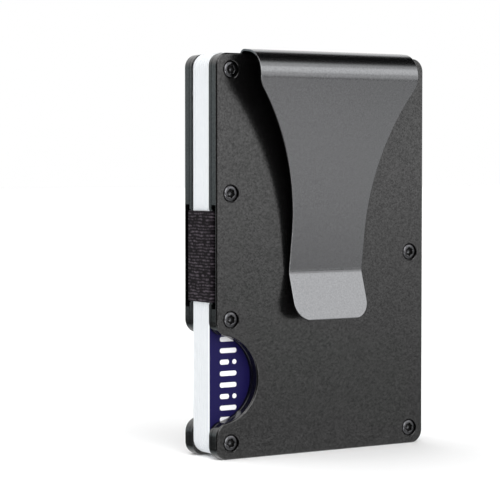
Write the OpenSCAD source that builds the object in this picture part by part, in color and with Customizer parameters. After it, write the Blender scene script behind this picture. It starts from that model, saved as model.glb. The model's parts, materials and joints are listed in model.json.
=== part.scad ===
// Minimalist card wallet with a sprung money clip.
// It stands on its short end. X is the width, with the thumb notch at -X and the open card side at +X.
// Y is the thickness, with the clip in front at -Y. Z is the height.
// The origin is on the base, in the middle of the width and of the thickness.

/* [Plates] */
// Width of both plates
wallet_w = 55; // [54.6:0.1:58]
// Height of both plates
wallet_h = 86; // [85.8:0.1:90]
// Thickness of an outer plate
outer_t = 2.0; // [1.9:0.05:2.6]
// Thickness of an inner plate
inner_t = 1.1; // [1.0:0.05:1.6]
// Corner radius of the plates
corner_r = 2.8; // [1.5:0.1:3.2]

/* [Thumb notch] */
// Radius of the round bite
notch_r = 9.35; // [7:0.05:10]
// Height of the bite's centre above the base
notch_z = 17.1; // [16:0.1:18.5]
// How far the bite's centre lies inside the long edge
notch_inset = 1.05; // [0.5:0.05:2]
// Radius of the round shoulders beside the bite
shoulder_r = 3; // [1.5:0.1:3.5]

/* [Cards] */
// Number of cards carried
card_count = 8; // [2:1:12]
// Thickness of one card
card_t = 0.76; // [0.7:0.01:0.84]
// Free play beside each card
card_play = 0.058; // [0.04:0.001:0.1]
// Width of a card
card_w = 53.98; // [53.5:0.01:54.03]
// Height of a card
card_h = 85.6; // [85:0.1:85.7]

/* [Screws] */
// Distance of the screws from the long edges
screw_side = 3.7; // [3.4:0.1:4.2]
// Distance of the corner screws from the short edges
screw_end = 3.5; // [3.2:0.1:4.2]
// Radius of a screw head
head_r = 1.7; // [1.4:0.05:1.8]

/* [Elastic straps] */
// Width of each strap
strap_w = 19.4; // [14:0.1:20.4]
// Thickness of the woven elastic
strap_t = 0.5; // [0.4:0.05:0.5]

/* [Money clip] */
// Thickness of the spring steel
clip_t = 0.45; // [0.4:0.01:0.45]
// Half of the clip's width at its root
clip_half_w = 20.75; // [19:0.05:21.2]
// Half of the clip's width at its waist
waist_half_w = 9.65; // [7:0.05:11]
// Height of the crease that presses on the plate
crease_z = 39.3; // [36:0.1:44]
// Height of the free end of the lip
lip_z = 29.05; // [26:0.05:32]

/* [Hidden] */
$fn = 64;

// Thickness stack, counted out from the middle of the card bay
bay_half = (card_count * (card_t + card_play) + card_play) / 2;
inner_face = bay_half + inner_t;
outer_face = inner_face + outer_t;

// Screw places: [x, z] of the seven screws in each plate
screw_x = wallet_w / 2 - screw_side;
screw_top = wallet_h - screw_end;
strap_screw_drop = 29.6;
notch_screw_z = 29.7;
SCREWS = [
    [-screw_x, screw_top],
    [-screw_x, wallet_h - strap_screw_drop],
    [-screw_x, notch_screw_z],
    [-screw_x, screw_end],
    [screw_x, screw_top],
    [screw_x, wallet_h / 2],
    [screw_x, screw_end]
];
head_h = 0.95;
head_sink = 0.05;
shank_r = 0.98;
shank_end_gap = 0.05;
thread_r = 1.0;
passage_r = 1.15;
bore_clear = 0.2;
socket_r = 0.6;
socket_depth = 0.55;
lobe_r = 0.2;
lobe_place_r = 0.66;

// Strap channels, cut into the inner side of each outer plate
skin_t = 0.4;
channel_depth = outer_t - skin_t;
channel_side_gap = 1.3;
channel_w = strap_w + 2 * channel_side_gap;
pin_r = 0.45;
pin_inset = 6.2;
pin_len = channel_w + 2;
pin_play = 0.02;
hem_r = 0.72;
hem_gap = 0.4;
channel_len = pin_inset + hem_r + hem_gap;
pin_lift = 0.8;
pin_y = inner_face + pin_lift;
leg_gap = 0.02;
leg_y = inner_face + leg_gap;
relief_gap = 0.05;
relief_side_gap = 0.3;
relief_w = strap_w + 2 * relief_side_gap;
cut = 1;

// Outward places of the three straps' inner sides, just clear of the cards
card_gap = 0.05;
card_inset = 0.25;
card_corner_r = 3.18;
card_lift = strap_t + card_gap;
card_left = wallet_w / 2 - card_inset;
side_reach = card_left + card_gap;
top_reach = card_lift + card_h + card_gap;
base_reach = -strap_t;

// Clip: the tab lies between the plates, bends over the top edge and comes down in front
pad_h = 0.53;
pad_margin = 0.5;
tab_y = inner_face + pad_h;
tab_z = wallet_h - 12.8;
tab_r = 2;
pocket_play = 0.3;
pocket_gap = 0.2;
pocket_floor = tab_y + clip_t + pocket_gap;
fold_r = 1.5;
fold_y = tab_y + clip_t / 2 + fold_r;
fold_drop = 0.8;
fold_z = wallet_h - fold_drop;
ramp_angle = 6;
leaf_angle = 7.95;
lip_angle = 17.1;
shoulder_bend_r = 5;
crease_lift = 0.82;
crease_y = outer_face + crease_lift;
hinge_gap_angle = 8;
flare_r = 52.8;
flare_z = 47.4;
hip_r = 5.2;
lip_corner_r = min(3.9, (crease_z - lip_z) / 2.5);
clip_screw_x = 16.2;
clip_screw_z = wallet_h - 9.7;
window_half_w = 12.6;
window_half_h = 1.5;
window_gap = 0.4;
csk_r = 1.7;
csk_h = 0.7;
csk_play = 0.02;
slot_w = 0.4;
slot_depth = 0.35;

// Start of the ramp on the fold, and the point where the ramp's line meets the leaf's line
ramp_start = [fold_y + fold_r * sin(ramp_angle), fold_z + fold_r * cos(ramp_angle)];
leaf_slope = tan(leaf_angle);
ramp_slope = tan(ramp_angle);
knee_y = (ramp_start[1] + ramp_slope * ramp_start[0] - crease_z + crease_y / leaf_slope)
    / (1 / leaf_slope + ramp_slope);
knee = [knee_y, ramp_start[1] - ramp_slope * (knee_y - ramp_start[0])];
knee_turn = 90 + leaf_angle - ramp_angle;
knee_tangent = shoulder_bend_r * tan(knee_turn / 2);
ramp_end = knee - knee_tangent * [cos(ramp_angle), -sin(ramp_angle)];
leaf_start = knee - knee_tangent * [sin(leaf_angle), cos(leaf_angle)];
knee_centre = ramp_end - shoulder_bend_r * [sin(ramp_angle), cos(ramp_angle)];
crease = [crease_y, crease_z];
lip_end = [crease_y + (crease_z - lip_z) * tan(lip_angle), lip_z];

CARDS = [for (i = [1:card_count]) str("card_", i)];
FRONT_SCREWS = [for (i = [1:7]) str("front_screw_", i)];
REAR_SCREWS = [for (i = [1:7]) str("rear_screw_", i)];
SIDES = ["side", "top", "base"];

// ---- Helpers ----

// Extrudes a front view, drawn in X and Z, between two places in Y
module slab(y0, y1) {
    translate([0, y1, 0])
        rotate([90, 0, 0])
            linear_extrude(y1 - y0)
                children();
}

// Extrudes a side view, drawn as distance to the front and height, along X
module swept(width) {
    rotate([90, 0, -90])
        linear_extrude(width, center = true)
            children();
}

// Moves a shape made for the front plates to the rear ones
module to_rear() {
    mirror([0, 1, 0])
        children();
}

module rounded_rect(x0, z0, x1, z1, r) {
    translate([x0 + r, z0])
        square([x1 - x0 - 2 * r, z1 - z0]);
    translate([x0, z0 + r])
        square([x1 - x0, z1 - z0 - 2 * r]);
    for (x = [x0 + r, x1 - r])
        for (z = [z0 + r, z1 - r])
            translate([x, z])
                circle(r);
}

// Cylinder along Y, from one depth to another, with an end radius of its own
module y_cylinder(x, z, y0, y1, r0, r1) {
    translate([x, y0, z])
        rotate([-90, 0, 0])
            cylinder(h = y1 - y0, r1 = r0, r2 = r1);
}

// ---- Plates ----

// Round bite in the long edge, with a round shoulder above and below it
module notch_outline() {
    centre_x = -wallet_w / 2 + notch_inset;
    shoulder_x = -wallet_w / 2 + shoulder_r;
    rise = sqrt(pow(notch_r + shoulder_r, 2) - pow(shoulder_x - centre_x, 2));
    tangent_x = centre_x + (shoulder_x - centre_x) * notch_r / (notch_r + shoulder_r);
    translate([centre_x, notch_z])
        circle(notch_r);
    difference() {
        translate([-wallet_w / 2 - cut, notch_z - rise])
            square([tangent_x + wallet_w / 2 + cut, 2 * rise]);
        for (side = [-1, 1])
            translate([shoulder_x, notch_z + side * rise])
                circle(shoulder_r);
    }
}

module plate_outline() {
    difference() {
        rounded_rect(-wallet_w / 2, 0, wallet_w / 2, wallet_h, corner_r);
        notch_outline();
    }
}

// Channel for one strap and the groove for its pin, with the edge that it opens through along +X
module strap_channel() {
    slab(-inner_face - channel_depth, -inner_face + cut)
        translate([-channel_len, -channel_w / 2])
            square([channel_len + cut, channel_w]);
    groove_half = pin_r + pin_play;
    slab(-pin_y - groove_half, -inner_face + cut)
        translate([-pin_inset - groove_half, -pin_len / 2 - pin_play])
            square([2 * groove_half, pin_len + 2 * pin_play]);
}

// Puts a shape whose outward direction is +X at the side, top or base edge of the plates
module at_edge(side) {
    if (side == "side")
        translate([-wallet_w / 2, 0, wallet_h / 2])
            rotate([0, 180, 0])
                children();
    if (side == "top")
        translate([0, 0, wallet_h])
            rotate([0, -90, 0])
                children();
    if (side == "base")
        rotate([0, 90, 0])
            children();
}

// Outer plate as it stands at the front, without what belongs to the clip
module outer_plate() {
    difference() {
        slab(-outer_face, -inner_face)
            plate_outline();
        for (side = SIDES)
            at_edge(side)
                strap_channel();
        for (s = SCREWS) {
            y_cylinder(s[0], s[1], -outer_face - cut, -inner_face + cut, passage_r, passage_r);
            y_cylinder(s[0], s[1], -outer_face - cut, -outer_face + head_h + head_sink,
                head_r + bore_clear, head_r + bore_clear);
        }
    }
}

// Inner plate as it stands at the front, cut back where the side and base straps turn round its edge
module inner_plate() {
    difference() {
        slab(-inner_face, -bay_half)
            plate_outline();
        for (s = SCREWS)
            y_cylinder(s[0], s[1], -inner_face - cut, -bay_half + cut, thread_r, thread_r);
        slab(-inner_face - cut, -bay_half + cut) {
            translate([-wallet_w / 2 - cut, (wallet_h - relief_w) / 2])
                square([wallet_w / 2 - side_reach + cut + relief_gap, relief_w]);
            translate([-relief_w / 2, -cut])
                square([relief_w, strap_t + cut + relief_gap]);
        }
    }
}

module front_outer_plate() {
    pocket_half = clip_half_w + pocket_play;
    color("dimgray")
        difference() {
            outer_plate();
            slab(-pocket_floor, -inner_face + cut)
                translate([-pocket_half, tab_z - pocket_play])
                    square([2 * pocket_half, wallet_h]);
            for (x = [-clip_screw_x, clip_screw_x])
                y_cylinder(x, clip_screw_z, -outer_face + skin_t, -inner_face, thread_r, thread_r);
        }
}

// Two raised pads beside the top strap carry the clip's tab
module front_inner_plate() {
    pad_x = window_half_w + window_gap;
    pad_w = clip_half_w - pad_x - pad_margin;
    color("dimgray")
        difference() {
            union() {
                inner_plate();
                for (side = [0, 1])
                    mirror([side, 0, 0])
                        slab(-tab_y, -inner_face + inner_t / 2)
                            translate([pad_x, tab_z + pad_margin])
                                square([pad_w, wallet_h - tab_z - 2 * pad_margin]);
            }
            for (x = [-clip_screw_x, clip_screw_x]) {
                y_cylinder(x, clip_screw_z, -tab_y - cut, -bay_half + cut, thread_r, thread_r);
                y_cylinder(x, clip_screw_z, -bay_half - csk_h, -bay_half, thread_r, csk_r);
            }
        }
}

module rear_outer_plate() {
    color("dimgray")
        to_rear()
            outer_plate();
}

module rear_inner_plate() {
    color("dimgray")
        to_rear()
            inner_plate();
}

// ---- Screws ----

// Six-lobe socket, seen from the front
module socket_outline() {
    circle(socket_r);
    for (a = [0:60:300])
        rotate(a)
            translate([lobe_place_r, 0])
                circle(lobe_r);
}

module plate_screw(s) {
    head_y = -outer_face + head_sink;
    color("black")
        difference() {
            union() {
                y_cylinder(s[0], s[1], head_y, head_y + head_h, head_r, head_r);
                y_cylinder(s[0], s[1], head_y + head_h, -bay_half - shank_end_gap, shank_r, shank_r);
            }
            slab(head_y - cut, head_y + socket_depth)
                translate(s)
                    socket_outline();
        }
}

// Flat-headed screw that holds the clip's tab from inside the card bay
module clip_screw(x) {
    tip_y = -outer_face + skin_t + shank_end_gap;
    color("black")
        difference() {
            union() {
                y_cylinder(x, clip_screw_z, -bay_half - csk_h, -bay_half, shank_r, csk_r - csk_play);
                y_cylinder(x, clip_screw_z, tip_y, -bay_half - csk_h, shank_r, shank_r);
            }
            slab(-bay_half - slot_depth, -bay_half + cut)
                translate([x - slot_w / 2, clip_screw_z - cut])
                    square([slot_w, 2 * cut]);
        }
}

// ---- Straps ----

// Section of a strap: a web across the card bay, a leg into each channel and a hem round each pin
module strap_section(reach, edge) {
    web_half = leg_y + strap_t;
    pin_x = edge - pin_inset;
    difference() {
        union() {
            translate([reach, -web_half])
                square([strap_t, 2 * web_half]);
            for (side = [-1, 1]) {
                translate([pin_x, side * (leg_y + strap_t / 2) - strap_t / 2])
                    square([reach - pin_x + strap_t, strap_t]);
                translate([pin_x, side * pin_y])
                    circle(hem_r);
            }
        }
        for (side = [-1, 1])
            translate([pin_x, side * pin_y])
                circle(pin_r + pin_play);
    }
}

// Strap that lies round one edge, in that edge's own outward direction
module strap(side, reach, edge) {
    color("black")
        at_edge(side)
            translate([-edge, 0, 0])
                linear_extrude(strap_w, center = true)
                    strap_section(reach, edge);
}

module side_strap() {
    strap("side", side_reach, wallet_w / 2);
}

module top_strap() {
    strap("top", top_reach, wallet_h);
}

module base_strap() {
    strap("base", base_reach, 0);
}

// Steel pin that holds a strap's hem in its groove
module strap_pin(side) {
    color("silver")
        at_edge(side)
            translate([-pin_inset, -pin_y, 0])
                cylinder(h = pin_len, r = pin_r, center = true);
}

// ---- Money clip ----

// Straight stretch of the clip's side view between two points
module strip_line(from, to) {
    run = to - from;
    translate(from)
        rotate(atan2(run[1], run[0]))
            translate([0, -clip_t / 2])
                square([norm(run), clip_t]);
}

// Bent stretch of the clip's side view, from one angle to another round its centre
module strip_arc(centre, r, from, to) {
    far = 3 * r;
    middle = (from + to) / 2;
    translate(centre)
        intersection() {
            difference() {
                circle(r + clip_t / 2);
                circle(r - clip_t / 2);
            }
            polygon([
                [0, 0],
                far * [cos(from), sin(from)],
                far * [cos(middle), sin(middle)],
                far * [cos(to), sin(to)]
            ]);
        }
}

// Tab between the plates and the fold over the plate's top edge
module root_profile() {
    strip_line([tab_y + clip_t / 2, tab_z], [tab_y + clip_t / 2, fold_z]);
    strip_arc([fold_y, fold_z], fold_r, 90 - ramp_angle + hinge_gap_angle, 180);
}

// Ramp, rounded shoulder, leaf, crease and lip in front of the plate, with round joints between them
module leaf_profile() {
    strip_line(ramp_start, ramp_end);
    strip_arc(knee_centre, shoulder_bend_r, -leaf_angle, 90 - ramp_angle);
    strip_line(leaf_start, crease);
    strip_line(crease, lip_end);
    for (joint = [ramp_end, leaf_start, crease])
        translate(joint)
            circle(clip_t / 2);
}

// Front view of the leaf: wide hips that flare in to a narrow waist, and a lip with round corners
module leaf_outline() {
    flare_x = waist_half_w + flare_r;
    hip_x = clip_half_w - hip_r;
    hip_z = flare_z + sqrt(pow(flare_r + hip_r, 2) - pow(flare_x - hip_x, 2));
    share = flare_r / (flare_r + hip_r);
    tangent_x = flare_x - (flare_x - hip_x) * share;
    tangent_z = flare_z + (hip_z - flare_z) * share;
    rounded_rect(-waist_half_w, lip_z, waist_half_w, crease_z, lip_corner_r);
    translate([-waist_half_w, crease_z - lip_corner_r])
        square([2 * waist_half_w, flare_z - crease_z + lip_corner_r]);
    difference() {
        translate([-clip_half_w, flare_z])
            square([2 * clip_half_w, wallet_h - flare_z + 2]);
        for (side = [0, 1])
            mirror([side, 0]) {
                translate([flare_x, flare_z])
                    circle(flare_r);
                difference() {
                    translate([tangent_x, tangent_z])
                        square([hip_r, hip_z - tangent_z]);
                    translate([hip_x, hip_z])
                        circle(hip_r);
                }
            }
    }
}

module clip_root() {
    color("slategray")
        difference() {
            intersection() {
                swept(2 * clip_half_w)
                    root_profile();
                slab(-outer_face - cut, 0)
                    union() {
                        rounded_rect(-clip_half_w, tab_z, clip_half_w, wallet_h, tab_r);
                        translate([-clip_half_w, wallet_h - 2 * tab_r])
                            square([2 * clip_half_w, 3 * tab_r]);
                    }
            }
            translate([0, -tab_y - clip_t / 2, wallet_h - pin_inset])
                cube([2 * window_half_w, 2 * clip_t, 2 * window_half_h], center = true);
            for (x = [-clip_screw_x, clip_screw_x])
                y_cylinder(x, clip_screw_z, -outer_face, 0, passage_r, passage_r);
        }
}

module clip_leaf() {
    color("slategray")
        intersection() {
            swept(2 * clip_half_w)
                leaf_profile();
            slab(-knee[0] - shoulder_bend_r, 0)
                leaf_outline();
        }
}

// ---- Cards ----

// Card in its place, counted from the front
module card(i) {
    y0 = -bay_half + card_play + (i - 1) * (card_t + card_play);
    color(i == 1 ? "midnightblue" : "white")
        slab(y0, y0 + card_t)
            rounded_rect(-card_left, card_lift, -card_left + card_w, card_lift + card_h, card_corner_r);
}

// ---- Assembly ----

front_outer_plate();
front_inner_plate();
for (i = [1:7]) plate_screw(SCREWS[i - 1]);
clip_root();
clip_leaf();
clip_screw(-clip_screw_x);  // clip_screw_1
clip_screw(clip_screw_x);  // clip_screw_2
side_strap();
top_strap();
base_strap();
for (s = SIDES) strap_pin(s);
rear_outer_plate();
rear_inner_plate();
for (i = [1:7]) to_rear() plate_screw(SCREWS[i - 1]);
for (s = SIDES) to_rear() strap_pin(s);
for (i = [1:card_count]) card(i);
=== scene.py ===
"""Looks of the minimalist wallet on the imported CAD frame: plates, screws, clip, straps and cards.

X is the width (notch at -X), Y the thickness (clip at -Y), Z the height. Lengths are in metres.
"""

import json
import math

import bmesh
import bpy
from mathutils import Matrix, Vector

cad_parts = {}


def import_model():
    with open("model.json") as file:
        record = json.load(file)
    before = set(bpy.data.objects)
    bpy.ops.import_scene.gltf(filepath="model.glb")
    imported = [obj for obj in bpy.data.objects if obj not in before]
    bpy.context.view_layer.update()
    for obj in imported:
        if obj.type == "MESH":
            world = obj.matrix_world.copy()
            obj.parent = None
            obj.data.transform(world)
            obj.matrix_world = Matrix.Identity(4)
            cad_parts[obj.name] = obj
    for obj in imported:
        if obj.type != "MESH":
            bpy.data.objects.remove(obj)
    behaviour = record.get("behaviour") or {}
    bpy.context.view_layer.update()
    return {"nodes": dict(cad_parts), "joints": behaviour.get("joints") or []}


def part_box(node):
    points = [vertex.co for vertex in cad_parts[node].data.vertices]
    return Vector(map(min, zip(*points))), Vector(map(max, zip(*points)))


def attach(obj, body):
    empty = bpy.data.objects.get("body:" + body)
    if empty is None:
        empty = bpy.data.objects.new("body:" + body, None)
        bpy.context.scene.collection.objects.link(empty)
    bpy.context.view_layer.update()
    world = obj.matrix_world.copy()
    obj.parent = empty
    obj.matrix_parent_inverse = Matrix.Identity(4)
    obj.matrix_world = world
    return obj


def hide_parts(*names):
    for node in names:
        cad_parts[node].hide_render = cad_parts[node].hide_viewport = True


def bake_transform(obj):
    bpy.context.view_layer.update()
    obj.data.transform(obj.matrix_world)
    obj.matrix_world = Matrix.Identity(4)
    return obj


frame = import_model()
MM = 0.001

# ---- Sizes that the boxes of the CAD nodes give ----

outer_lo, outer_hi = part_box("front_outer_plate")
inner_lo, inner_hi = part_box("front_inner_plate")
root_lo, root_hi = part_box("clip_root")
leaf_lo, leaf_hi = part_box("clip_leaf")
HALF_W = outer_hi.x
HEIGHT = outer_hi.z
FACE = -outer_lo.y
SEAM = -outer_hi.y
BAY = -inner_hi.y
FLEX = next(j for j in frame["joints"] if j["name"] == "clip_flex")

# ---- Shapes of the CAD parts that a box doesn't give ----

CORNER_R = 2.8 * MM
NOTCH_R = 9.35 * MM
NOTCH_X = -HALF_W + 1.05 * MM
NOTCH_Z = 17.1 * MM
SHOULDER_R = 3 * MM
CARD_R = 3.18 * MM
SKIN = 0.4 * MM
STRAP_W = 19.4 * MM
STRAP_T = 0.5 * MM
CHANNEL_W = 22 * MM
CHANNEL_DEPTH = 7.32 * MM
RELIEF_W = 20 * MM
PIN_INSET = 6.2 * MM
PIN_R = 0.45 * MM
CLIP_T = 0.45 * MM
CLIP_PLAY = 0.3 * MM
TAB_R = 2 * MM
POCKET_GAP = 0.2 * MM
PAD_X = (13.0 * MM, 20.25 * MM)
PAD_MARGIN = 0.5 * MM
WINDOW_HALF = (12.6 * MM, 1.5 * MM)
COUNTERBORE_R = 1.9 * MM
COUNTERBORE_DEPTH = 1.0 * MM
PASSAGE_R = 1.15 * MM
THREAD_R = 1.0 * MM
COUNTERSINK_R = 1.7 * MM
COUNTERSINK_DEPTH = 0.7 * MM
FOLD_R = 1.5 * MM
KNEE_R = 5 * MM
CREASE_R = 2.5 * MM
RAMP_ANGLE = math.radians(6)
LEAF_ANGLE = math.radians(7.95)
LIP_ANGLE = math.radians(17.1)
CREASE_Z = 39.3 * MM
CREASE_GAP = 0.82 * MM
WAIST = 9.65 * MM
FLARE_R = 52.8 * MM
FLARE_Z = 47.4 * MM
HIP_R = 5.2 * MM
LIP_R = 3.9 * MM

# ---- Mesh helpers ----


def arc(centre, radius, start, end, step=5):
    """Points on an arc, from one angle to another in degrees, both ends included."""
    count = max(2, math.ceil(abs(end - start) / step))
    angles = [math.radians(start + (end - start) * i / count) for i in range(count + 1)]
    return [(centre[0] + radius * math.cos(a), centre[1] + radius * math.sin(a)) for a in angles]


def inset(points, distance):
    """A closed anticlockwise outline moved inwards, with mitred corners."""
    moved = []
    for i, here in enumerate(points):
        before, after = points[i - 1], points[(i + 1) % len(points)]
        first = (Vector(here) - Vector(before)).normalized()
        second = (Vector(after) - Vector(here)).normalized()
        n1, n2 = Vector((first.y, -first.x)), Vector((second.y, -second.x))
        moved.append(tuple(Vector(here) - (n1 + n2) * distance / (1 + n1.dot(n2))))
    return moved


def rounded_rect(x0, z0, x1, z1, r, step=6):
    """Anticlockwise outline of a rectangle with round corners."""
    points = arc((x0 + r, z0 + r), r, 180, 270, step)
    points += arc((x1 - r, z0 + r), r, 270, 360, step)
    points += arc((x1 - r, z1 - r), r, 0, 90, step)
    return points + arc((x0 + r, z1 - r), r, 90, 180, step)


def filleted(corners, radii, arc_step=6, straight_step=0.25 * MM):
    """A polyline with a round bend at each inner corner.

    Its straight stretches are cut into short steps.
    """
    points = [Vector(corners[0])]
    for i, radius in enumerate(radii, 1):
        here = Vector(corners[i])
        into = (here - Vector(corners[i - 1])).normalized()
        out = (Vector(corners[i + 1]) - here).normalized()
        turn = into.angle_signed(out)
        reach = radius * math.tan(abs(turn) / 2)
        start = here - into * reach
        side = math.copysign(1, turn)
        centre = start + Vector((into.y, -into.x)) * radius * side
        points += straight(points[-1], start, straight_step)
        count = max(3, math.ceil(math.degrees(abs(turn)) / arc_step))
        for k in range(1, count + 1):
            spoke = start - centre
            angle = -turn * k / count
            c, s = math.cos(angle), math.sin(angle)
            points.append(centre + Vector((spoke.x * c - spoke.y * s, spoke.x * s + spoke.y * c)))
    points += straight(points[-1], Vector(corners[-1]), straight_step)
    return points


def straight(start, end, step):
    """Points after start up to end, evenly spaced."""
    count = max(1, math.ceil((end - start).length / step))
    return [start.lerp(end, k / count) for k in range(1, count + 1)]


def left_normals(points):
    """The unit normal on the left of a polyline at each of its points."""
    normals = []
    for i in range(len(points)):
        along = (points[min(i + 1, len(points) - 1)] - points[max(i - 1, 0)]).normalized()
        normals.append(Vector((-along.y, along.x)))
    return normals


def add_ring(bm, corners):
    return [bm.verts.new(c) for c in corners]


def bridge(bm, first, second):
    for i in range(len(first)):
        bm.faces.new((first[i - 1], first[i], second[i], second[i - 1]))


def cap(bm, rings):
    """Fills the flat area inside the first ring and outside the others, with a crisp border."""
    edges = []
    for ring in rings:
        edges += [bm.edges.get((ring[i - 1], ring[i])) for i in range(len(ring))]
    bmesh.ops.triangle_fill(bm, use_beauty=True, edges=edges)
    for edge in edges:
        edge.smooth = False


def finish_mesh(bm, name, sharp=32):
    """Turns the bmesh into an object, smooth except where faces meet at over the sharp angle."""
    bmesh.ops.recalc_face_normals(bm, faces=bm.faces)
    for face in bm.faces:
        face.smooth = True
    for edge in bm.edges:
        if edge.calc_face_angle(0) > math.radians(sharp):
            edge.smooth = False
    mesh = bpy.data.meshes.new(name)
    bm.to_mesh(mesh)
    bm.free()
    obj = bpy.data.objects.new(name, mesh)
    bpy.context.scene.collection.objects.link(obj)
    return obj


def slab(name, outline, stations, holes=()):
    """A plate in the X-Z plane. stations are (inset, y) from one of its faces to the other.

    holes are (x, z, [(radius, y), ...]) with their first and last y on the two faces.
    """
    bm = bmesh.new()
    rings = []
    for distance, y in stations:
        shape = inset(outline, distance) if distance else outline
        rings.append(add_ring(bm, [(x, y, z) for x, z in shape]))
    for first, second in zip(rings, rings[1:]):
        bridge(bm, first, second)
    ends = [[rings[0]], [rings[-1]]]
    for x, z, profile in holes:
        wall = []
        for radius, y in profile:
            circle = arc((x, z), radius, 0, 360, step=7.5)[:-1]
            wall.append(add_ring(bm, [(cx, y, cz) for cx, cz in circle]))
        for first, second in zip(wall, wall[1:]):
            bridge(bm, first, second)
        ends[0].append(wall[0])
        ends[1].append(wall[-1])
    for loops in ends:
        cap(bm, loops)
    return finish_mesh(bm, name)


def loft(name, rings):
    """A closed solid through rings of points, one after another."""
    bm = bmesh.new()
    loops = [add_ring(bm, ring) for ring in rings]
    for first, second in zip(loops, loops[1:]):
        bridge(bm, first, second)
    bm.faces.new(loops[0])
    bm.faces.new(loops[-1])
    return finish_mesh(bm, name, sharp=50)


def place(obj, body, material, replaces=()):
    """Gives a piece its material, its body and the CAD nodes that it stands for."""
    obj.data.materials.clear()
    obj.data.materials.append(material)
    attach(obj, body)
    if replaces:
        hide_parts(*replaces)


# ---- Material helpers ----


def fill_ramp(node, stops):
    """Sets a colour ramp's stops, given as (position, grey or colour) from low to high."""
    elements = node.color_ramp.elements
    elements.remove(elements[-1])
    elements[0].position = stops[0][0]
    for i, (position, colour) in enumerate(stops):
        element = elements.new(position) if i else elements[0]
        rgb = colour if isinstance(colour, tuple) else (colour,) * 3
        element.color = (*rgb, 1)


class Shader:
    """A node material being built, with a Principled shader to plug into."""

    def __init__(self, name, **values):
        self.material = bpy.data.materials.new(name)
        self.material.use_nodes = True
        self.nodes = self.material.node_tree.nodes
        self.links = self.material.node_tree.links
        self.main = self.nodes["Principled BSDF"]
        for socket, value in values.items():
            self.main.inputs[socket.replace("_", " ")].default_value = value
        self.coords = self.nodes.new("ShaderNodeTexCoord").outputs["Object"]

    def node(self, kind, inputs=(), **settings):
        """A new node. An input's value is a number, a tuple or another node's output."""
        made = self.nodes.new("ShaderNode" + kind)
        for key, value in settings.items():
            setattr(made, key, value)
        for socket, value in dict(inputs).items():
            if isinstance(value, bpy.types.NodeSocket):
                self.links.new(value, made.inputs[socket])
            else:
                made.inputs[socket].default_value = value
        return made

    def scaled(self, x, y, z):
        """Object coordinates stretched along each axis."""
        return self.node("Mapping", {"Vector": self.coords, "Scale": (x, y, z)}).outputs["Vector"]

    def noise(self, vector, scale, detail=3):
        values = {"Vector": vector, "Scale": scale, "Detail": detail, "Roughness": 0.55}
        return self.node("TexNoise", values).outputs["Fac"]

    def ramp(self, fac, *stops):
        """Colours or greys at places along a value."""
        made = self.node("ValToRGB", {"Fac": fac})
        fill_ramp(made, stops)
        return made.outputs["Color"]

    def between(self, fac, low, high):
        """A value that goes from low to high as fac goes from 0 to 1."""
        return self.node("MapRange", {"Value": fac, "To Min": low, "To Max": high}).outputs["Result"]

    def math(self, operation, first, second=0.0):
        """One Math node. An operation on a single value ignores the second."""
        return self.node("Math", {0: first, 1: second}, operation=operation).outputs["Value"]

    def mix(self, fac, first, second):
        """A colour that goes from first to second as fac goes from 0 to 1."""
        made = self.node("Mix", {0: fac}, data_type="RGBA")
        # A Mix node's colour sockets are inputs 6 and 7 and output 2
        for socket, value in ((6, first), (7, second)):
            if isinstance(value, bpy.types.NodeSocket):
                self.links.new(value, made.inputs[socket])
            else:
                made.inputs[socket].default_value = (*value, 1)
        return made.outputs[2]

    def bump(self, height, strength, distance):
        values = {"Height": height, "Strength": strength, "Distance": distance}
        made = self.node("Bump", values)
        self.links.new(made.outputs["Normal"], self.main.inputs["Normal"])

    def plug(self, socket, output):
        self.links.new(output, self.main.inputs[socket])


# ---- Materials ----


def anodised_black():
    """Bead-blasted aluminium, anodised black: a fine grain in the gloss over faint clouds."""
    s = Shader("anodised_black")
    grain = s.noise(s.coords, 2900, detail=2)
    cloud = s.noise(s.coords, 60, detail=2)
    s.plug("Base Color", s.mix(cloud, (0.001, 0.001, 0.001), (0.003, 0.003, 0.003)))
    s.plug("Specular IOR Level", s.between(grain, 0.0, 1.54))
    s.plug("Roughness", s.between(grain, 0.16, 0.24))
    s.bump(grain, 1.0, 0.012 * MM)
    return s.material


def black_oxide():
    """Black oxide on small steel screws, a little uneven."""
    s = Shader("black_oxide", Metallic=1.0)
    patch = s.noise(s.coords, 1400, detail=3)
    s.plug("Base Color", s.mix(patch, (0.070, 0.071, 0.075), (0.095, 0.096, 0.100)))
    s.plug("Roughness", s.between(patch, 0.12, 0.22))
    s.bump(patch, 0.5, 0.03 * MM)
    return s.material


def painted_socket_shade():
    """Painted shade: a dull, deep black put on the screws' sockets in place of the shade inside them."""
    s = Shader("painted_socket_shade", Specular_IOR_Level=0.15)
    patch = s.noise(s.coords, 2000, detail=2)
    s.plug("Base Color", s.mix(patch, (0.002, 0.002, 0.002), (0.006, 0.006, 0.006)))
    s.plug("Roughness", s.between(patch, 0.5, 0.7))
    return s.material


def satin_gunmetal():
    """Spring steel with a dark satin finish."""
    s = Shader("satin_gunmetal", Metallic=1.0)
    grain = s.noise(s.coords, 2900, detail=2)
    cloud = s.noise(s.scaled(120, 120, 50), 1.0, detail=2)
    speckle = s.mix(s.between(grain, -0.8, 1.8), (0.150, 0.152, 0.156), (0.194, 0.196, 0.202))
    s.plug("Base Color", s.mix(s.between(cloud, 0.0, 0.4), speckle, (0.166, 0.168, 0.173)))
    s.plug("Roughness", s.between(grain, 0.18, 0.24))
    s.bump(grain, 0.12, 0.01 * MM)
    return s.material


def drawn_steel():
    """Bright drawn wire of the hidden strap pins."""
    s = Shader("drawn_steel", Metallic=1.0)
    streak = s.noise(s.coords, 2500, detail=2)
    s.plug("Base Color", s.mix(streak, (0.5, 0.51, 0.53), (0.62, 0.63, 0.65)))
    s.plug("Roughness", s.between(streak, 0.2, 0.35))
    return s.material


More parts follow.
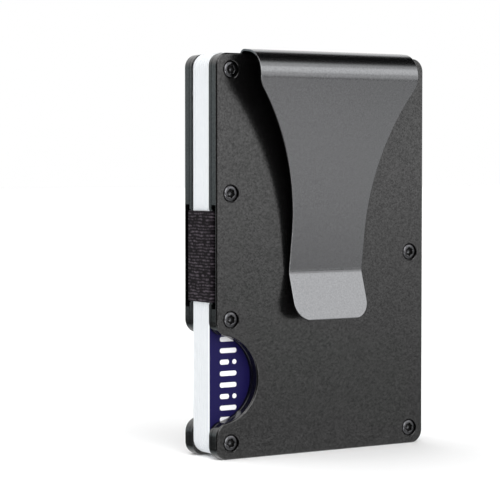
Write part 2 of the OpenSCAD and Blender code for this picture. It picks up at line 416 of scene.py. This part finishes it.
def woven_elastic(name, across):
    """Woven elastic, near-black plum threads with rows of paler marks.

    across is the axis over the strap's width.
    """
    s = Shader(name, Roughness=0.95, Specular_IOR_Level=0.1, Sheen_Weight=0.03, Sheen_Roughness=0.5)
    axes = s.node("SeparateXYZ", {0: s.coords})
    wander = s.noise(s.coords, 420, detail=2)
    over = s.math("ADD", axes.outputs[across], s.math("MULTIPLY", wander, 0.7 * MM))
    rows = s.math("MULTIPLY", over, 1 / RIB_PITCH)
    ridge = s.math("PINGPONG", s.math("FRACT", rows), 0.5)
    # Each row reads the noise at a distance from the rows beside it, so their marks differ
    marks_per_metre = 800.0
    row_distance = 7.31
    along = s.math("MULTIPLY", axes.outputs["Y"], marks_per_metre)
    own_row = s.math("MULTIPLY", s.math("FLOOR", rows), row_distance)
    spot = s.node("CombineXYZ", {"X": along, "Y": own_row}).outputs["Vector"]
    marks = s.between(s.noise(spot, 1.0, detail=2), -1.0, 2.1)
    fibre = s.noise(s.coords, 2600, detail=3)
    thread = s.math("MULTIPLY", s.between(ridge, 0.05, 1.8), marks)
    fleck = s.math("MULTIPLY", thread, s.between(fibre, -0.2, 2.0))
    gap, shade, mark = (0.003, 0.002, 0.003), (0.007, 0.005, 0.007), (0.066, 0.055, 0.066)
    s.plug("Base Color", s.ramp(fleck, (0.0, gap), (0.18, shade), (0.7, mark)))
    s.bump(fleck, 0.6, 0.06 * MM)
    return s.material


def white_card(stripe):
    """White card stock with a satin laminate.

    stripe is the x range of the dark magnetic band on the back.
    """
    s = Shader("white_card", Coat_Weight=0.15, Coat_Roughness=0.2)
    fine = s.noise(s.coords, 900, detail=2)
    tint = s.mix(fine, (0.69, 0.715, 0.74), (0.745, 0.765, 0.785))
    place_x = s.node("SeparateXYZ", {0: s.coords}).outputs["X"]
    facing = s.node("SeparateXYZ", {0: s.node("TexCoord").outputs["Normal"]}).outputs["Y"]
    after_start = s.math("GREATER_THAN", place_x, stripe[0])
    before_end = s.math("LESS_THAN", place_x, stripe[1])
    inside = s.math("MULTIPLY", after_start, before_end)
    band = s.math("MULTIPLY", inside, s.math("GREATER_THAN", facing, 0.9))
    s.plug("Base Color", s.mix(band, tint, (0.02, 0.018, 0.017)))
    s.plug("Roughness", s.between(fine, 0.36, 0.46))
    return s.material


def navy_card():
    """Navy print on both faces of a white card, whose cut edges stay white."""
    s = Shader("navy_card", Specular_IOR_Level=0.12)
    sweep = s.noise(s.coords, 35, detail=1)
    navy = s.mix(sweep, (0.006, 0.004, 0.048), (0.009, 0.007, 0.066))
    facing = s.node("SeparateXYZ", {0: s.node("TexCoord").outputs["Normal"]}).outputs["Y"]
    on_face = s.math("GREATER_THAN", s.math("ABSOLUTE", facing), 0.8)
    s.plug("Base Color", s.mix(on_face, (0.78, 0.80, 0.82), navy))
    s.plug("Roughness", s.between(s.noise(s.coords, 1500), 0.36, 0.46))
    return s.material


def white_ink():
    """White print on the navy card."""
    s = Shader("white_ink")
    speck = s.noise(s.coords, 3000, detail=2)
    s.plug("Base Color", s.mix(speck, (0.80, 0.80, 0.83), (0.90, 0.90, 0.92)))
    s.plug("Roughness", s.between(speck, 0.4, 0.5))
    return s.material


def gold_contact():
    """Gold contact plate of the chip."""
    s = Shader("gold_contact", Metallic=1.0)
    mottle = s.noise(s.coords, 900, detail=2)
    s.plug("Base Color", s.mix(mottle, (0.72, 0.53, 0.24), (0.80, 0.62, 0.32)))
    s.plug("Roughness", s.between(mottle, 0.2, 0.34))
    return s.material


def studio_white():
    """Pale floor paper."""
    s = Shader("studio_white", Roughness=0.9)
    fibre = s.noise(s.coords, 400, detail=2)
    s.plug("Base Color", s.mix(fibre, (0.93, 0.93, 0.93), (0.95, 0.95, 0.95)))
    return s.material


# ---- Plates ----

FRONT, REAR = -1, 1
SCREW_NODES = [f"{side}_screw_{i}" for side in ("front", "rear") for i in range(1, 8)]


def centre_of(node):
    """The middle of a CAD node's box."""
    lo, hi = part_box(node)
    return (lo + hi) / 2


def screw_places():
    """x and z of the seven screws, the same on both sides."""
    return [(centre_of(n).x, centre_of(n).z) for n in SCREW_NODES[:7]]


def clip_screw_places():
    """x and z of the two screws that hold the clip's tab."""
    return [(centre_of(n).x, centre_of(n).z) for n in ("clip_screw_1", "clip_screw_2")]


def bored(places, profile):
    """The same hole at several places, as slab takes them."""
    return [(x, z, profile) for x, z in places]


def channel(half, depth):
    """A cut through an edge, as (place across, depth) points.

    A strap's channel also has a groove in each of its sides for the ends of the pin.
    """
    steps = [(half, 0), (half, depth)]
    if half == CHANNEL_W / 2:
        groove_r, groove_depth = PIN_R + 0.02 * MM, MM
        above, below = PIN_INSET - groove_r, PIN_INSET + groove_r
        groove_end = half + groove_depth
        steps[1:1] = [(half, above), (groove_end, above), (groove_end, below), (half, below)]
    return [(-across, deep) for across, deep in steps] + steps[::-1]


def plate_outline(side=None, top=None, base=None):
    """Plate seen from the front, with round corners and thumb notch.

    side, top and base are the cuts through those edges, as (half of the width, depth).
    """
    middle = HEIGHT / 2
    rise = math.sqrt((NOTCH_R + SHOULDER_R) ** 2 - (SHOULDER_R - HALF_W - NOTCH_X) ** 2)
    lean = math.degrees(math.atan2(rise, SHOULDER_R - HALF_W - NOTCH_X))
    right, left = HALF_W - CORNER_R, CORNER_R - HALF_W
    high = HEIGHT - CORNER_R
    points = arc((left, CORNER_R), CORNER_R, 180, 270)
    if base:
        points += channel(*base)
    points += arc((right, CORNER_R), CORNER_R, 270, 360)
    points += arc((right, high), CORNER_R, 0, 90)
    if top:
        points += [(-x, HEIGHT - deep) for x, deep in channel(*top)]
    points += arc((left, high), CORNER_R, 90, 180)
    if side:
        points += [(deep - HALF_W, middle - x) for x, deep in channel(*side)]
    points += arc((SHOULDER_R - HALF_W, NOTCH_Z + rise), SHOULDER_R, 180, 180 + lean)
    points += arc((NOTCH_X, NOTCH_Z), NOTCH_R, lean, -lean, step=3)[1:-1]
    points += arc((SHOULDER_R - HALF_W, NOTCH_Z - rise), SHOULDER_R, 180 - lean, 180)
    return points


def outer_plate(name, side, body, material):
    """Outer plate in layers: a skin with a rounded rim, and the channelled core behind it."""
    # The rim is a 45 degree chamfer whose two ends are eased
    rim = 0.33 * MM
    edge = [(1.0, 0.0), (0.84, 0.04), (0.04, 0.84), (0.0, 1.0)]
    hole_rim = 0.1 * MM
    floor = side * (FACE - SKIN)
    skin_stations = [(rim * across, side * (FACE - rim * deep)) for across, deep in edge] + [(0, floor)]
    hole = [(COUNTERBORE_R + hole_rim, side * FACE), (COUNTERBORE_R, side * (FACE - hole_rim))]
    hole.append((COUNTERBORE_R, floor))
    skin = slab(name + "_skin", plate_outline(), skin_stations, bored(screw_places(), hole))
    place(skin, body, material, [name])

    seam_rim = 0.08 * MM
    seam, shelf = side * SEAM, side * (FACE - COUNTERBORE_DEPTH)
    seam_stations = [(0, side * (SEAM + seam_rim)), (seam_rim, seam)]
    strap_cut = (CHANNEL_W / 2, CHANNEL_DEPTH)
    whole = plate_outline(strap_cut, strap_cut, strap_cut)
    stepped = [(COUNTERBORE_R, shelf), (PASSAGE_R, shelf), (PASSAGE_R, seam)]
    if side == REAR:
        holes = bored(screw_places(), [(COUNTERBORE_R, floor)] + stepped)
        layers = [(whole, [(0, floor)] + seam_stations, holes)]
    else:
        # The pocket for the clip's tab stops short of the skin, so the front core has two layers
        pocket = side * (-root_hi.y + CLIP_T + POCKET_GAP)
        pocket_cut = (leaf_hi.x + CLIP_PLAY, HEIGHT - root_lo.z + CLIP_PLAY)
        opened = plate_outline(strap_cut, pocket_cut, strap_cut)
        upper = bored(screw_places(), [(COUNTERBORE_R, floor), (COUNTERBORE_R, pocket)])
        upper += bored(clip_screw_places(), [(THREAD_R, floor), (THREAD_R, pocket)])
        lower = bored(screw_places(), [(COUNTERBORE_R, pocket)] + stepped)
        layers = [
            (whole, [(0, floor), (0, pocket)], upper),
            (opened, [(0, pocket)] + seam_stations, lower),
        ]
    for i, (outline, stations, holes) in enumerate(layers, 1):
        core = slab(f"{name}_core_{i}", outline, stations, holes)
        place(core, body, material, [name])


def inner_plate(name, side, body, material):
    """Inner plate, cut back where the side and base straps turn round its edge."""
    rim = 0.1 * MM
    stations = [(rim, side * SEAM), (0, side * (SEAM - rim)), (0, side * (BAY + rim)), (rim, side * BAY)]
    relief, play = RELIEF_W / 2, 0.05 * MM
    side_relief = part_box("side_strap")[0].x + STRAP_T + HALF_W + 2 * play
    outline = plate_outline(side=(relief, side_relief), base=(relief, STRAP_T + play))
    holes = bored(screw_places(), [(THREAD_R, side * SEAM), (THREAD_R, side * BAY)])
    if side == FRONT:
        sunk = [(THREAD_R, -SEAM), (THREAD_R, -BAY - COUNTERSINK_DEPTH), (COUNTERSINK_R, -BAY)]
        holes += bored(clip_screw_places(), sunk)
    plate = slab(name + "_finish", outline, stations, holes)
    place(plate, body, material, [name])
    if side == FRONT:
        tab_pads(name, body, material)


def tab_pads(plate_name, body, material):
    """The front inner plate's two pads, which the clip's tab is screwed to."""
    pad_corner_r = 0.4 * MM
    for i, (x, z) in enumerate(clip_screw_places(), 1):
        x0, x1 = sorted(math.copysign(reach, x) for reach in PAD_X)
        outline = rounded_rect(x0, root_lo.z + PAD_MARGIN, x1, HEIGHT - PAD_MARGIN, pad_corner_r, 30)
        passage = [(THREAD_R, root_hi.y), (THREAD_R, -SEAM)]
        pad = slab(f"{plate_name}_pad_{i}", outline, [(0, root_hi.y), (0, -SEAM)], [(x, z, passage)])
        place(pad, body, material, [plate_name])


# ---- Screws ----


def lobed(radius, depth):
    """Points round a six-lobe outline whose radius waves by depth. Depth 0 gives a circle."""
    count = 72
    points = []
    for i in range(count):
        a = 2 * math.pi * i / count
        r = radius + depth * math.cos(6 * a)
        points.append((r * math.cos(a), r * math.sin(a)))
    return points


def screw_mesh():
    """Low-head screw at the origin, its face at y = 0 and its shank along +Y."""
    lo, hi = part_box(SCREW_NODES[0])
    head_r, length = (hi.x - lo.x) / 2, hi.y - lo.y
    head_h = 0.95 * MM
    shank_r = 0.98 * MM
    tip_chamfer = 0.15 * MM
    cone_r = 0.36 * MM
    rings = [
        # A drilled cone, the lobed floor round it and the lobed wall up to the face
        (lobed(0.05 * MM, 0), 0.74 * MM),
        (lobed(cone_r, 0), 0.58 * MM),
        (lobed(0.78 * MM, 0.10 * MM), 0.60 * MM),
        (lobed(0.89 * MM, 0.12 * MM), 0.08 * MM),
        (lobed(0.98 * MM, 0.12 * MM), 0.0),
    ]
    # The face sinks by the sag from the flat to the crown's border
    flat_r, crown_r = 1.04 * MM, 1.5 * MM
    sag = 0.11 * MM
    for share in (0.0, 0.2, 0.4, 0.6, 0.8, 1.0):
        rings.append((lobed(flat_r + (crown_r - flat_r) * share, 0), sag * share**2))
    rings += [
        # The rounded border, the head's side and the shank
        (lobed(crown_r + 0.10 * MM, 0), sag + 0.05 * MM),
        (lobed(head_r - 0.03 * MM, 0), sag + 0.14 * MM),
        (lobed(head_r, 0), sag + 0.24 * MM),
        (lobed(head_r, 0), head_h),
        (lobed(shank_r, 0), head_h),
        (lobed(shank_r, 0), length - tip_chamfer),
        (lobed(shank_r - tip_chamfer, 0), length),
    ]
    obj = loft("screw_pattern", [[(x, y, z) for x, z in ring] for ring, y in rings])
    mesh = obj.data
    bpy.data.objects.remove(obj)
    # The socket's floor and wall take the second material, painted shade; the drilled cone keeps the
    # head's
    socket_r, socket_depth = 0.95 * MM, 0.7 * MM
    for face in mesh.polygons:
        from_axis = math.hypot(face.center.x, face.center.z)
        in_socket = cone_r < from_axis < socket_r and face.center.y < socket_depth
        face.material_index = int(in_socket)
    return mesh


def screws(material):
    """The fourteen plate screws, all from one mesh."""
    mesh = screw_mesh()
    mesh.materials.append(material)
    # The second material paints the shade inside the sockets
    mesh.materials.append(painted_socket_shade())
    for i, node in enumerate(SCREW_NODES):
        lo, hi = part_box(node)
        front = node.startswith("front")
        obj = bpy.data.objects.new(node + "_finish", mesh)
        bpy.context.scene.collection.objects.link(obj)
        obj.location = ((lo.x + hi.x) / 2, lo.y if front else hi.y, (lo.z + hi.z) / 2)
        # Each screw stopped at its own turn, so the sockets don't line up
        turn = math.radians(17 * i)
        obj.rotation_euler = (0, turn, 0 if front else math.pi)
        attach(obj, "front_frame" if front else "rear_frame")
        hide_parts(node)


# ---- Money clip ----


def clip_half_width(z):
    """Half of the clip's width at a height on its leaf."""
    hips = leaf_hi.x
    flare_x = WAIST + FLARE_R
    hip_x = hips - HIP_R
    hip_z = FLARE_Z + math.sqrt((FLARE_R + HIP_R) ** 2 - (flare_x - hip_x) ** 2)
    tangent_z = FLARE_Z + (hip_z - FLARE_Z) * FLARE_R / (FLARE_R + HIP_R)
    lip_z = leaf_lo.z
    if z >= hip_z:
        return hips
    if z >= tangent_z:
        return hip_x + math.sqrt(HIP_R**2 - (hip_z - z) ** 2)
    if z >= FLARE_Z:
        return flare_x - math.sqrt(FLARE_R**2 - (z - FLARE_Z) ** 2)
    if z >= lip_z + LIP_R:
        return WAIST
    return WAIST - LIP_R + math.sqrt(max(0, LIP_R**2 - (lip_z + LIP_R - z) ** 2))


def clip_path():
    """Middle line of the clip's strip, as (distance to the front, height) points.

    It goes up the tab, over the fold, and down the ramp, knee, leaf and crease to the lip.
    """
    tab_out = -root_hi.y + CLIP_T / 2
    fold_out, fold_z = -FLEX["pos_m"][1], FLEX["pos_m"][2]
    start = (fold_out + FOLD_R * math.sin(RAMP_ANGLE), fold_z + FOLD_R * math.cos(RAMP_ANGLE))
    fold = (tab_out, start[1] + (start[0] - tab_out) * math.tan(RAMP_ANGLE))
    crease = (FACE + CREASE_GAP, CREASE_Z)
    # The knee is where the ramp's line meets the leaf's
    ramp_slope, leaf_slope = math.tan(RAMP_ANGLE), math.tan(LEAF_ANGLE)
    between_lines = start[1] + ramp_slope * start[0] - crease[1] + crease[0] / leaf_slope
    knee_out = between_lines / (1 / leaf_slope + ramp_slope)
    knee = (knee_out, start[1] - ramp_slope * (knee_out - start[0]))
    lip_z = leaf_lo.z
    lip = (crease[0] + (crease[1] - lip_z) * math.tan(LIP_ANGLE), lip_z)
    path = filleted([(tab_out, root_lo.z), fold, knee, crease, lip], [FOLD_R, KNEE_R, CREASE_R])
    # Short last steps, so that the lip's corners and its rounded end are smooth
    tip, before = path[-1], path[-2]
    return path[:-1] + [before.lerp(tip, share) for share in (0.3, 0.55, 0.75, 0.88, 0.95, 0.99, 1)]


def clip_section(hips, half_t, border_r):
    """Closed rounded section of the strip, as (x, distance from the middle line)."""
    # Only the faces' borders are eased, by 35 degrees, and the sheared sides stay flat
    ease = 35
    reach = border_r * math.sin(math.radians(ease))
    quarter = arc((hips - reach, half_t - border_r), border_r, 90 - ease, 90, step=7)
    # A point just inside each eased border keeps the flat faces' shading flat
    quarter.append((hips - 2 * reach, half_t))
    half = quarter + [(-x, n) for x, n in reversed(quarter)]
    return half + [(-x, -n) for x, n in half]


def money_clip(material):
    """The whole clip as one bent strip, with its fold at the place of the clip's flex joint."""
    path = clip_path()
    normals = left_normals(path)
    fold_y, fold_z = FLEX["pos_m"][1:]
    tip_r = 0.18 * MM
    border_r = 0.26 * MM
    rings = []
    for i, (here, normal) in enumerate(zip(path, normals)):
        on_tab = here.x < FACE and here.y < fold_z
        to_corner = max(0, TAB_R - (here.y - root_lo.z))
        hips = clip_half_width(here.y)
        if on_tab:
            hips = leaf_hi.x - TAB_R + math.sqrt(TAB_R**2 - to_corner**2)
        half_t = CLIP_T / 2
        to_end = (path[-1] - here).length
        if to_end < tip_r:
            into_tip = max(0.02 * MM, tip_r - to_end)
            half_t = half_t - tip_r + math.sqrt(max(0, tip_r**2 - into_tip**2))
        # An eased border takes up less than its radius, which may be more than half_t
        section = clip_section(hips, half_t, min(border_r, half_t * 1.5))
        rings.append([(x, -(here.x + normal.x * n), here.y + normal.y * n) for x, n in section])
    clip = loft("money_clip", rings)
    cut_tab(clip)
    clip.data.materials.append(material)
    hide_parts("clip_root", "clip_leaf")
    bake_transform(clip)


def cut_tab(clip):
    """Cuts the top strap's window and the two screw holes out of the clip's hidden tab."""
    half_x, half_z = WINDOW_HALF
    y0, y1 = root_hi.y - 2 * CLIP_T, root_hi.y + CLIP_T
    z = HEIGHT - PIN_INSET
    shapes = [[(-half_x, z - half_z), (half_x, z - half_z), (half_x, z + half_z), (-half_x, z + half_z)]]
    for screw in clip_screw_places():
        shapes.append(arc(screw, PASSAGE_R, 0, 360, step=15)[:-1])
    for shape in shapes:
        cutter = slab("cutter", shape, [(0, y0), (0, y1)])
        cutting = clip.modifiers.new("cut", "BOOLEAN")
        cutting.operation = "DIFFERENCE"
        cutting.solver = "EXACT"
        cutting.object = cutter
        bpy.context.view_layer.update()
        seen = clip.evaluated_get(bpy.context.evaluated_depsgraph_get())
        mesh = bpy.data.meshes.new_from_object(seen)
        clip.modifiers.clear()
        clip.data = mesh
        bpy.data.objects.remove(cutter)


# ---- Elastic straps ----

RIB_PITCH = 0.66 * MM
RIB_HEIGHT = 0.09 * MM
STITCH_PITCH = 1.1 * MM
ROW_OFFSET = 0.37


def rib_height(over, along):
    """How far the weave stands up at a place over the strap's width and along its length."""
    rib = abs(math.cos(math.pi * over / RIB_PITCH))
    row = math.floor(over / RIB_PITCH + 0.5)
    # Each row's stitches are offset from those of the row before
    stitch = 0.5 + 0.5 * math.cos(2 * math.pi * (along / STITCH_PITCH + ROW_OFFSET * row))
    return RIB_HEIGHT * (0.65 * rib + 0.35 * rib * stitch)


def strap(name, reach, edge, to_frame, material):
    """One strap: a hem round the front pin, out round the edge, across the bay and back to the rear pin.

    reach is the outward place of its inner side, edge that of the plates' edge.
    to_frame turns (outward, y, over the width) into a point.
    """
    leg = SEAM + 0.02 * MM + STRAP_T / 2
    middle = reach + STRAP_T / 2
    pin, pin_y = edge - PIN_INSET, centre_of("rear_" + name.replace("strap", "pin")).y
    hem_half = 0.12 * MM
    hem_end, hem_fade = 0.6 * MM, 1.2 * MM
    loop_r = PIN_R + hem_half + 0.01 * MM
    half_path = [
        (pin + MM, pin_y + loop_r - 0.1 * MM),
        (pin - loop_r, pin_y + loop_r),
        (pin - loop_r, pin_y - loop_r),
        (middle, leg),
    ]
    bend_r = 0.55 * MM
    corners = [(out, -y) for out, y in half_path] + half_path[::-1]
    path = filleted(corners, [bend_r] * (len(corners) - 2), 12, 0.24 * MM)
    normals = left_normals(path)
    columns = 180
    selvedge = 0.4 * RIB_PITCH
    overs = [STRAP_W * (i / columns - 0.5) for i in range(columns + 1)]
    rings = []
    travelled = 0
    for i, (here, normal) in enumerate(zip(path, normals)):
        travelled += (here - path[i - 1]).length if i else 0
        # Full thickness outside, thinned where the web is folded and stitched round the pin
        full = 0
        if abs(here.y) < leg + 0.1 * MM:
            full = min(1, max(0, (here.x - pin - hem_end) / hem_fade))
        half_t = hem_half + (STRAP_T / 2 - hem_half) * full
        outer, inner = [], []
        for over in overs:
            # The selvedge thins out to about a third
            taper = min(1, (STRAP_W / 2 - abs(over)) / selvedge + 0.35)
            half = (half_t - RIB_HEIGHT) * taper
            top = here - normal * (half + rib_height(over, travelled) * taper)
            low = here + normal * half
            outer.append(to_frame(top.x, top.y, over))
            inner.append(to_frame(low.x, low.y, over))
        rings.append(outer + inner[::-1])
    obj = loft(name + "_finish", rings)
    obj.data.materials.append(material)
    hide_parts(name)
    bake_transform(obj)


def straps():
    """The side, top and base straps. The first two clear the cards by the play."""
    card_lo, card_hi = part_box("card_1")
    side_web = woven_elastic("woven_elastic_side", "Z")
    end_web = woven_elastic("woven_elastic_ends", "X")
    play = 0.05 * MM
    base_reach = -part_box("base_strap")[0].z - STRAP_T

    def at_side(out, y, over):
        return -out, y, HEIGHT / 2 + over

    def at_top(out, y, over):
        return over, y, out

    def at_base(out, y, over):
        return over, y, -out

    strap("side_strap", -card_lo.x + play, HALF_W, at_side, side_web)
    strap("top_strap", card_hi.z + play, HEIGHT, at_top, end_web)
    strap("base_strap", base_reach, 0, at_base, end_web)


# ---- Cards ----

CARDS = sorted((n for n in frame["nodes"] if n.startswith("card_")), key=lambda n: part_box(n)[0].y)


def card(node, material):
    """One card with softly rounded edges."""
    lo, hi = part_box(node)
    soft = 0.07 * MM
    eased = soft * 0.3
    stations = [(soft, lo.y), (eased, lo.y + eased), (0, lo.y + soft)]
    stations += [(0, hi.y - soft), (eased, hi.y - eased), (soft, hi.y)]
    outline = rounded_rect(lo.x, lo.z, hi.x, hi.z, CARD_R)
    place(slab(node + "_finish", outline, stations), node + "_body", material, [node])


def printed(name, outline, body, material):
    """A flat print or contact that stands a little proud of the front card's face."""
    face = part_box(CARDS[0])[0].y
    thickness = 0.012 * MM
    stations = [(0, face - thickness), (0, face + thickness)]
    place(slab(name, outline, stations), body, material)


def front_print(body):
    """Plain bars and dots in a column by the notch, and the chip's contacts."""
    lo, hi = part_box(CARDS[0])
    ink, gold = white_ink(), gold_contact()
    left, lowest = lo.x + 2.6 * MM, NOTCH_Z - 9.4 * MM
    full_w, tall, pitch = 4.2 * MM, 1.05 * MM, 2.45 * MM
    short_w = 0.55 * full_w
    rows = 8
    for i in range(rows):
        z = lowest + pitch * i
        # Every third bar is a short one with a dot after it
        short = i % 3 == 2
        right = left + (short_w if short else full_w)
        bar = rounded_rect(left, z, right, z + tall, tall * 0.45, 15)
        printed(f"card_print_bar_{i + 1}", bar, body, ink)
        if short:
            dot_x = left + full_w - tall
            dot = rounded_rect(dot_x, z, dot_x + tall, z + tall, tall * 0.49, 15)
            printed(f"card_print_dot_{i + 1}", dot, body, ink)
    chip_below_top = 24 * MM
    chip(centre_of(CARDS[0]).x, hi.z - chip_below_top, body, gold)


def chip(x, z, body, gold):
    """Eight gold contacts in two columns, with thin gaps and one wide contact between them."""
    size_x, size_z, gap, rows = 11.8 * MM, 12.4 * MM, 0.22 * MM, 4
    pitch = size_z / rows
    arm, middle = 3.9 * MM, 3.4 * MM
    corner_r = 0.5 * MM
    for side in (-1, 1):
        for row in range(rows):
            low = z - size_z / 2 + pitch * row
            x0, x1 = sorted((x + side * size_x / 2, x + side * (size_x / 2 - arm)))
            pad = rounded_rect(x0, low + gap / 2, x1, low + pitch - gap / 2, corner_r, 30)
            printed(f"card_chip_contact_{(side + 1) * rows // 2 + row + 1}", pad, body, gold)
    z0, z1 = z - size_z / 2 + gap / 2, z + size_z / 2 - gap / 2
    centre = rounded_rect(x - middle / 2, z0, x + middle / 2, z1, corner_r, 30)
    printed("card_chip_centre", centre, body, gold)


def cards():
    """The navy card in front and the white ones behind it."""
    card_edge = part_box(CARDS[0])[1].x
    stripe = (card_edge - 16.5 * MM, card_edge - 4 * MM)
    white = white_card(stripe)
    navy = navy_card()
    card(CARDS[0], navy)
    for node in CARDS[1:]:
        card(node, white)
    front_print(CARDS[0] + "_body")


# ---- Hidden fittings, which keep their CAD shape ----


def fittings(oxide):
    """The strap pins and the clip's screws."""
    finishes = {"pin": drawn_steel(), "clip_screw": oxide}
    for name, obj in frame["nodes"].items():
        for word, material in finishes.items():
            if word in name:
                obj.data.materials.clear()
                obj.data.materials.append(material)


# ---- Studio ----


def camera():
    """A long lens to the left of the wallet's front, near three quarters of its height."""
    data = bpy.data.cameras.new("camera")
    data.lens = 147.4
    data.sensor_width = 36
    tilt, turn = math.radians(90 - 2.43), math.radians(-33.48)
    obj = bpy.data.objects.new("camera", data)
    obj.location = (-0.2586, -0.3686, 0.0628)
    obj.rotation_euler = (tilt, 0, turn)
    bpy.context.scene.collection.objects.link(obj)
    bpy.context.scene.camera = obj


def floor():
    """A large square of paper that the wallet stands on."""
    bm = bmesh.new()
    reach = 4
    corners = [(-reach, -reach, 0), (reach, -reach, 0), (reach, reach, 0), (-reach, reach, 0)]
    bm.faces.new(add_ring(bm, corners))
    obj = finish_mesh(bm, "floor")
    obj.data.materials.append(studio_white())
    # The wallet's gloss reflects the room's lower half, and the room's light passes the paper
    obj.visible_glossy = False
    obj.visible_shadow = False


def area_light(name, place_at, aim, size, radiance):
    """A rectangular softbox of a given brightness, which the camera doesn't see."""
    data = bpy.data.lights.new(name, "AREA")
    data.shape = "RECTANGLE"
    data.size, data.size_y = size
    data.energy = radiance * math.pi * size[0] * size[1]
    obj = bpy.data.objects.new(name, data)
    obj.location = place_at
    obj.rotation_euler = (Vector(aim) - Vector(place_at)).to_track_quat("-Z", "Y").to_euler()
    obj.visible_camera = False
    bpy.context.scene.collection.objects.link(obj)


# The room's brightness by the height that one looks at, from straight down (-1) to straight up (1)
ROOM_HEIGHTS = [
    # The ground, then a dim band, a bright one and a black one
    (-1.0, 0.9), (-0.45, 0.85),
    (-0.36, 0.3), (-0.29, 0.2),
    (-0.26, 1.35), (-0.22, 1.45), (-0.205, 2.0), (-0.19, 2.0),
    (-0.176, 0.05), (-0.132, 0.05),
    # The horizon, the walls and the bright ceiling
    (-0.113, 0.82), (-0.09, 0.94), (-0.065, 0.95), (-0.041, 1.38), (-0.015, 1.22), (0.03, 1.2),
    (0.3, 1.02), (0.6, 1.4), (1.0, 2.4),
]


def world():
    """White to the camera. What it lights sees a room in bands by height.

    The room has four dark openings and two bright panels.
    """
    made = bpy.data.worlds.new("studio")
    made.use_nodes = True
    nodes, links = made.node_tree.nodes, made.node_tree.links
    coords = nodes.new("ShaderNodeTexCoord").outputs["Generated"]

    def graded(direction, stops):
        """Greys or colours by the cosine of the angle to a direction."""
        toward = nodes.new("ShaderNodeVectorMath")
        toward.operation = "DOT_PRODUCT"
        links.new(coords, toward.inputs[0])
        toward.inputs[1].default_value = Vector(direction).normalized()
        ramp = nodes.new("ShaderNodeValToRGB")
        half = nodes.new("ShaderNodeMapRange")
        half.inputs["From Min"].default_value = -1
        links.new(toward.outputs["Value"], half.inputs["Value"])
        links.new(half.outputs["Result"], ramp.inputs["Fac"])
        fill_ramp(ramp, [((cosine + 1) / 2, grey) for cosine, grey in stops])
        return ramp.outputs["Color"]

    def times(first, second):
        """The product of two colours."""
        both = nodes.new("ShaderNodeMix")
        both.data_type = "RGBA"
        both.blend_type = "MULTIPLY"
        both.inputs[0].default_value = 1
        links.new(first, both.inputs[6])
        links.new(second, both.inputs[7])
        return both.outputs[2]

    height = graded((0, 0, 1), ROOM_HEIGHTS)
    overhead = graded((0.5, 0.04, 0.87), [(0.0, 1.0), (0.82, 1.0), (0.91, 0.02), (1.0, 0.0)])
    left_front = graded((-0.82, -0.57, 0.0), [(0.0, 1.0), (0.76, 1.0), (0.90, 0.05), (1.0, 0.03)])
    left_rear_stops = [(0.0, 1.0), (0.80, 1.0), (0.945, (0.52, 0.60, 0.61)), (0.965, (0.34, 0.39, 0.40))]
    left_rear_stops += [(0.98, 0.13), (1.0, 0.1)]
    left_rear = graded((-0.54, 0.80, -0.3), left_rear_stops)
    right_stops = [(0.0, 1.0), (0.51, 1.0), (0.58, 0.87), (0.76, 0.8), (0.88, 0.35), (1.0, 0.2)]
    right = graded((0.95, 0.0, -0.25), right_stops)
    upper_panel = graded((-0.15, -0.9, 0.35), [(0.0, 1.0), (0.945, 1.0), (0.96, 4.0), (1.0, 4.0)])
    lower_panel = graded((-0.35, -0.9, -0.27), [(0.0, 1.0), (0.968, 1.0), (0.98, 6.0), (1.0, 6.0)])
    openings = times(times(overhead, left_front), times(left_rear, right))
    panels = times(upper_panel, lower_panel)
    room = nodes["Background"]
    links.new(times(times(height, panels), openings), room.inputs["Color"])
    seen = nodes.new("ShaderNodeBackground")
    seen.inputs["Color"].default_value = (1, 1, 1, 1)
    path = nodes.new("ShaderNodeLightPath")
    mix = nodes.new("ShaderNodeMixShader")
    links.new(path.outputs["Is Camera Ray"], mix.inputs["Fac"])
    links.new(room.outputs["Background"], mix.inputs[1])
    links.new(seen.outputs["Background"], mix.inputs[2])
    links.new(mix.outputs["Shader"], nodes["World Output"].inputs["Surface"])
    bpy.context.scene.world = made


def studio():
    """The floor, the room and two softboxes to the right of the wallet's front."""
    floor()
    world()
    middle = (0, 0, HEIGHT / 2)
    area_light("wall", (0.287, -0.41, 0.20), (0, 0, 0.2), (0.40, 0.32), 0.3)
    area_light("key", (0.34, -0.43, 0.29), middle, (0.34, 0.22), 1.0)
    bpy.context.scene.view_settings.view_transform = "Standard"


# ---- Everything ----

camera()
studio()
plate_finish = anodised_black()
oxide = black_oxide()
for side_name, side, body in (("front", FRONT, "front_frame"), ("rear", REAR, "rear_frame")):
    outer_plate(side_name + "_outer_plate", side, body, plate_finish)
    inner_plate(side_name + "_inner_plate", side, body, plate_finish)
screws(oxide)
money_clip(satin_gunmetal())
straps()
cards()
fittings(oxide)
